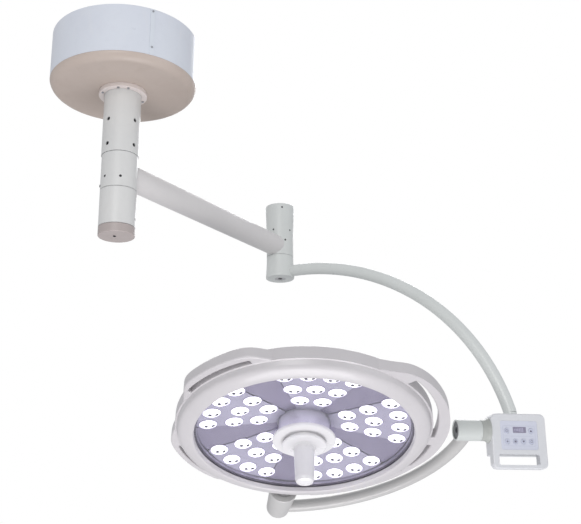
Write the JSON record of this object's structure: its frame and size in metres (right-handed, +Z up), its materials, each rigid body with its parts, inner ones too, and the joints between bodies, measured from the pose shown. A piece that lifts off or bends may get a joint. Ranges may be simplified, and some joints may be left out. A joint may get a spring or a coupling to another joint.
{
  "type": "dental operating light",
  "caption": "Ceiling-mounted examination light: round canopy and drop tube, straight arm, arched arm, control box and quarter yoke carrying a round LED head with rim grips and a centre handle.",
  "frame": {"origin": "centre of the ceiling plate's upper face, on the mast axis", "axes": "+Z up along the mast, +X along the yoke's horizontal pivot axis at rest, from the lamp head towards the control box; rest pose is the pose of the reference view"},
  "size_m": [1.2457, 0.7235, 1.1152],
  "materials": {
    "canopy_paint": "satin",
    "dish_paint": "satin",
    "arm_paint": "satin",
    "head_plastic": "satin",
    "box_plastic": "satin",
    "collar_plastic": "satin",
    "steel": "brushed",
    "dark_steel": "blackened",
    "bronze": "machined",
    "cast_alloy": "cast",
    "keypad_film": "satin",
    "button_film": "satin",
    "display": "gloss",
    "circuit_board": "matt",
    "psu_case": "matt",
    "module_face": "gloss",
    "wedge_face": "gloss",
    "led_lens": "emitting",
    "clear_cover": "clear",
    "seal": "matt",
    "centre_plastic": "satin",
    "handle_plastic": "satin"
  },
  "bodies": {
    "ceiling": {"ceiling_plate": "steel", "flange_bolts": "steel", "canopy_wall": "canopy_paint", "canopy_dish": "dish_paint", "canopy_seam_strip": "canopy_paint", "canopy_screws": "steel", "split_collar": "collar_plastic", "power_supply": "psu_case", "drop_tube": "arm_paint", "mast_set_screws": "dark_steel", "mast_spindle": "steel", "spindle_nut": "steel"},
    "straight_arm": {"mast_hub": "arm_paint", "lower_hub": "arm_paint", "hub_end_cap": "dish_paint", "arm_screws": "dark_steel", "arm_bushes": "bronze", "arm_tube": "arm_paint", "elbow_hub": "arm_paint"},
    "arc_arm": {"elbow_lower_hub": "arm_paint", "elbow_spindle": "steel", "arc_tube": "arm_paint", "swivel_spindle": "steel", "spindle_nuts": "steel"},
    "control_box": {"box_front_shell": "box_plastic", "box_rear_shell": "box_plastic", "box_screws": "dark_steel", "pivot_block": "cast_alloy", "swivel_bushes": "bronze", "joint_shaft": "steel", "keypad_panel": "keypad_film", "display_window": "display", "control_board": "circuit_board"},
    "yoke": {"joint_sleeve": "arm_paint", "yoke_bushes": "bronze", "yoke_end_caps": "arm_paint", "yoke_tube": "arm_paint", "pivot_housing": "arm_paint"},
    "lamp_head": {"head_rim": "head_plastic", "grip_bars": "head_plastic", "rear_cover": "head_plastic", "cover_screws": "steel", "chassis": "cast_alloy", "pivot_shaft": "steel", "module_panels": "module_face", "led_boards": "circuit_board", "led_lenses": "led_lens", "heat_sinks": "cast_alloy", "wedge_panels": "wedge_face", "glass_cover": "clear_cover", "cover_gasket": "seal", "centre_ring": "centre_plastic", "handle_post": "handle_plastic"},
    "handle": {"sterile_handle": "handle_plastic"},
    "button_power_body": {"button_power": "button_film"},
    "button_mode_body": {"button_mode": "button_film"},
    "button_dim_body": {"button_dim": "button_film"},
    "button_bright_body": {"button_bright": "button_film"},
    "button_cool_body": {"button_cool": "button_film"},
    "button_warm_body": {"button_warm": "button_film"}
  },
  "joints": [
    {"name": "mast_swivel", "type": "hinge", "parent": "ceiling", "child": "straight_arm", "pos_m": [0, 0, -0.36], "axis": [0, 0, 1], "range_deg": [-165, 165]},
    {"name": "elbow_swivel", "type": "hinge", "parent": "straight_arm", "child": "arc_arm", "pos_m": [0.46808, 0.49325, -0.379], "axis": [0, 0, 1], "range_deg": [-165, 165]},
    {"name": "box_swivel", "type": "hinge", "parent": "arc_arm", "child": "control_box", "pos_m": [0.99074, 0.13404, -0.88614], "axis": [0, 0, 1], "range_deg": [-165, 165]},
    {"name": "yoke_pivot", "type": "hinge", "parent": "control_box", "child": "yoke", "pos_m": [0.90774, 0.13404, -0.92614], "axis": [1, 0, 0], "range_deg": [-68, 112]},
    {"name": "head_pivot", "type": "hinge", "parent": "yoke", "child": "lamp_head", "pos_m": [0.46474, 0.43074, -1.04601], "axis": [0, 0.9272, -0.3746], "range_deg": [-120, 120]},
    {"name": "handle_release", "type": "slide", "parent": "lamp_head", "child": "handle", "axis": [-0.0698, -0.3737, -0.9249], "range_m": [0, 0.09]},
    {"name": "button_power_press", "type": "slide", "parent": "control_box", "child": "button_power_body", "axis": [0, 1, 0], "range_m": [0, 0.0008], "stiffness_N_per_m": 1500, "springref_m": -0.0004},
    {"name": "button_mode_press", "type": "slide", "parent": "control_box", "child": "button_mode_body", "axis": [0, 1, 0], "range_m": [0, 0.0008], "stiffness_N_per_m": 1500, "springref_m": -0.0004},
    {"name": "button_dim_press", "type": "slide", "parent": "control_box", "child": "button_dim_body", "axis": [0, 1, 0], "range_m": [0, 0.0008], "stiffness_N_per_m": 1500, "springref_m": -0.0004},
    {"name": "button_bright_press", "type": "slide", "parent": "control_box", "child": "button_bright_body", "axis": [0, 1, 0], "range_m": [0, 0.0008], "stiffness_N_per_m": 1500, "springref_m": -0.0004},
    {"name": "button_cool_press", "type": "slide", "parent": "control_box", "child": "button_cool_body", "axis": [0, 1, 0], "range_m": [0, 0.0008], "stiffness_N_per_m": 1500, "springref_m": -0.0004},
    {"name": "button_warm_press", "type": "slide", "parent": "control_box", "child": "button_warm_body", "axis": [0, 1, 0], "range_m": [0, 0.0008], "stiffness_N_per_m": 1500, "springref_m": -0.0004}
  ]
}
